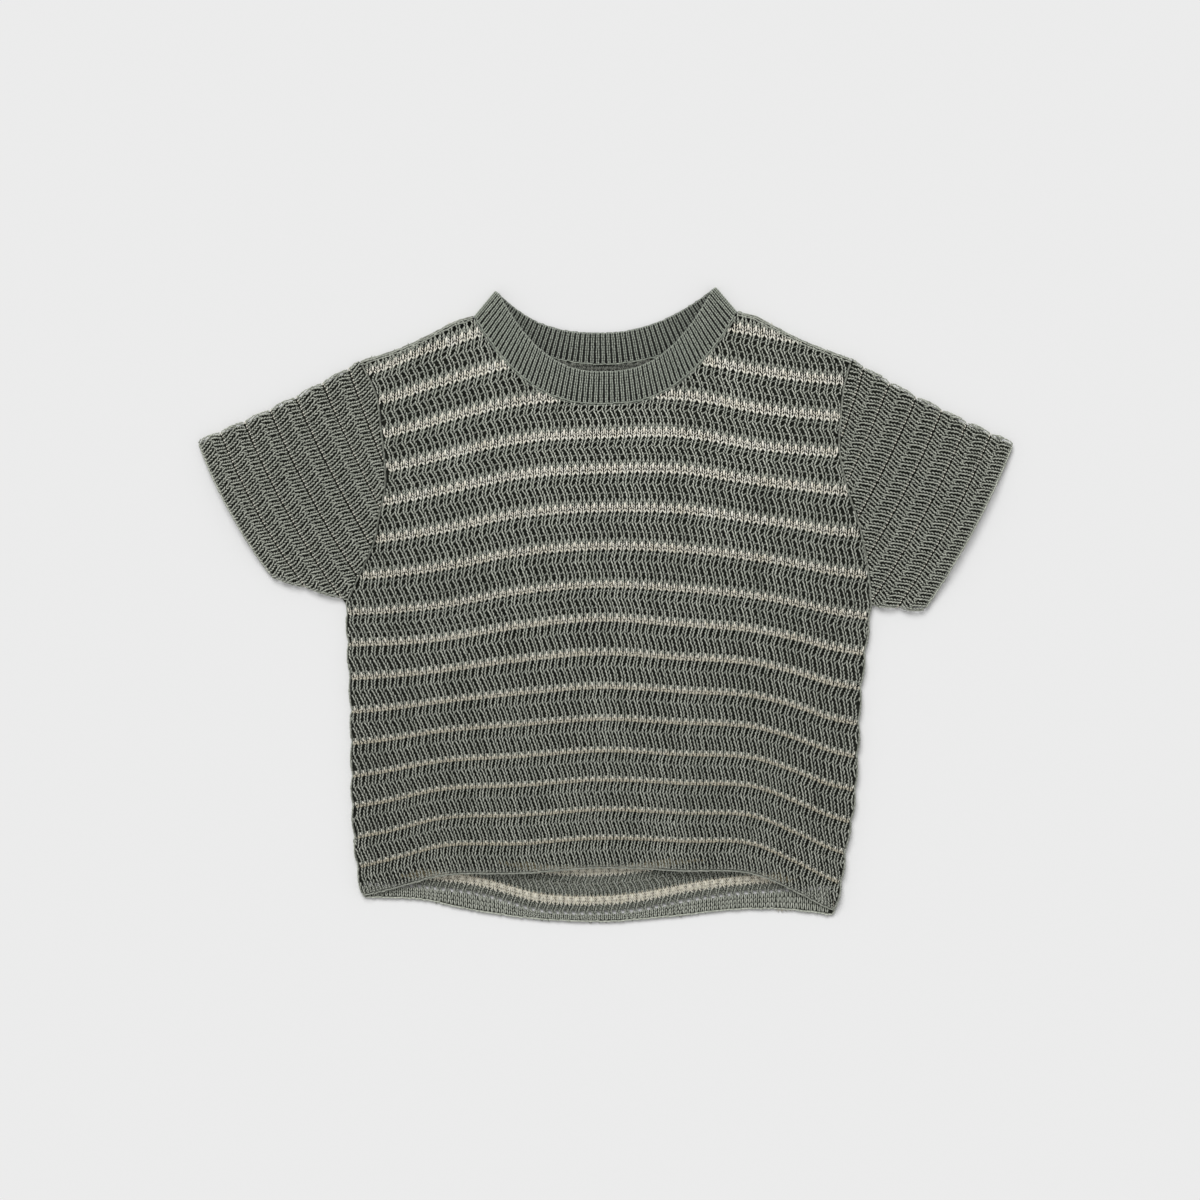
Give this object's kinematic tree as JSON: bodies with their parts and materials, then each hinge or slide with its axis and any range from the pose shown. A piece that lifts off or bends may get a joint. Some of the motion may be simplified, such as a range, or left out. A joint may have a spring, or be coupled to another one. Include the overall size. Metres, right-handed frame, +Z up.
{
  "type": "short sleeve t-shirt",
  "caption": "Child's crew neck short sleeve t-shirt in openwork striped cotton knit with a ribbed collar, laid flat on its back.",
  "frame": {"origin": "centre of the laid shirt's outline, on the surface it lies on", "axes": "+X to the shirt's left sleeve (the viewer's right), +Y from hem to neck, +Z up out of the surface"},
  "size_m": [0.4702, 0.3644, 0.0084],
  "materials": {
    "sage_knit": "matt heathered cotton yarn, openwork knit",
    "sage_rib": "matt heathered cotton yarn, 1x1 rib"
  },
  "bodies": {
    "root": {"front_panel": "sage_knit", "back_panel": "sage_knit", "sleeve_left": "sage_knit", "sleeve_right": "sage_knit", "collar": "sage_rib"}
  },
  "joints": []
}
